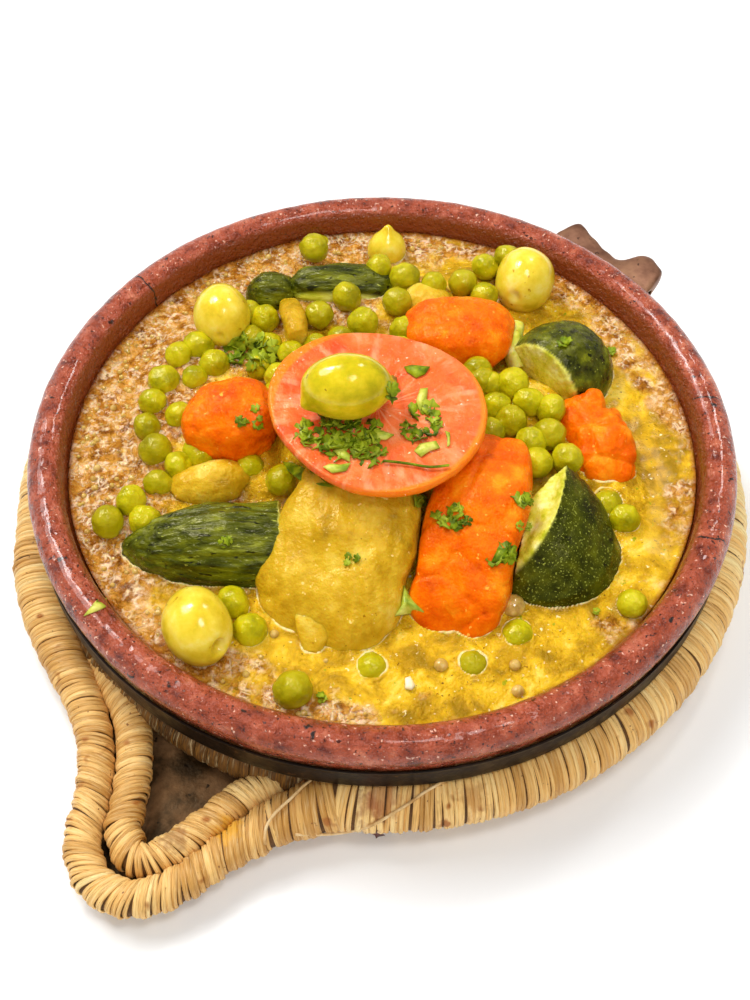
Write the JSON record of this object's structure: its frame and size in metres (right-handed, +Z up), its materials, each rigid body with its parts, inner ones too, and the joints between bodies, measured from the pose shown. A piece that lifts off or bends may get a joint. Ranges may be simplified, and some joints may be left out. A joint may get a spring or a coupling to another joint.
{
  "type": "tagine",
  "caption": "Clay tagine dish of vegetable stew topped with a tomato slice and olives, on a woven palm trivet with a looped handle.",
  "frame": {"origin": "on the dish's axis, at the middle of the flat underside of the trivet's leather base", "axes": "+Z up along the dish's axis; the near side is -Y; the trivet's looped handle points to -X, -Y, and the hoop's folded tab to +X, +Y"},
  "size_m": [0.2372, 0.2607, 0.08],
  "materials": {
    "leather": "dark brown, worn",
    "palm": "straw-gold palm leaf strips",
    "clay": "glazed red-brown clay",
    "sheet_metal": "dull, browned by heat",
    "sauce": "wet, oily",
    "potato": "wet, cooked",
    "carrot": "wet, cooked",
    "zucchini": "wet, dark green skin",
    "olive": "glossy",
    "tomato": "wet, pink-red flesh",
    "pea": "glossy, cooked"
  },
  "bodies": {
    "root": {"leather_base": "leather", "trivet": "palm", "dish": "clay", "metal_hoop": "sheet_metal", "hoop_tab": "sheet_metal", "sauce": "sauce", "potato_wedge": "potato", "potato_chunk": "potato", "potato_strip": "potato", "potato_crumb": "potato", "carrot_front": "carrot", "carrot_left": "carrot", "carrot_back": "carrot", "carrot_right": "carrot", "zucchini_left": "zucchini", "zucchini_front_right": "zucchini", "zucchini_back_right": "zucchini", "zucchini_back_left": "zucchini", "zucchini_back_mid": "zucchini", "olive_back_left": "olive", "olive_back": "olive", "olive_back_right": "olive", "olive_front_left": "olive", "tomato_olive": "olive", "tomato_slice": "tomato", "pea_heap": "pea", "pea_front": "pea", "pea_left_front": "pea", "pea_right": "pea", "pea_back": "pea"}
  },
  "joints": []
}
